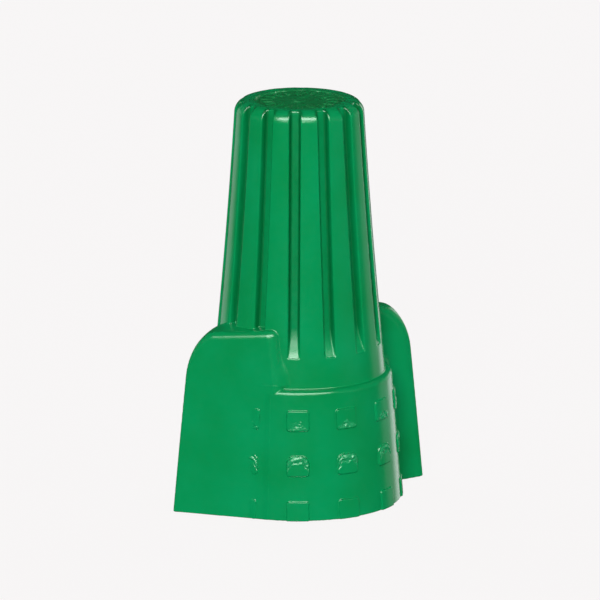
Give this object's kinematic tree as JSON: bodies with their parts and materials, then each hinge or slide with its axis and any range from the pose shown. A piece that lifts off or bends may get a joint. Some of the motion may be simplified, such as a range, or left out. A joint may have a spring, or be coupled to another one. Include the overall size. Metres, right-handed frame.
{
  "type": "winged twist-on wire connector",
  "caption": "Tapered, fluted twist-on wire connector with a round winged skirt and a square-wire spring cone inside, for splicing stripped electrical wires by hand.",
  "frame": {"origin": "centre of the bottom rim, on the plane that the connector stands on", "axes": "+Z from the open mouth up to the closed top, along the connector's axis; the two wings' tips lie along +X and -X; Y across"},
  "size_m": [0.0218, 0.016, 0.031],
  "materials": {
    "shell_plastic": "satin moulded green thermoplastic",
    "spring_steel": "bright zinc-plated drawn wire"
  },
  "bodies": {
    "root": {"shell": "shell_plastic", "spring": "spring_steel"}
  },
  "joints": []
}
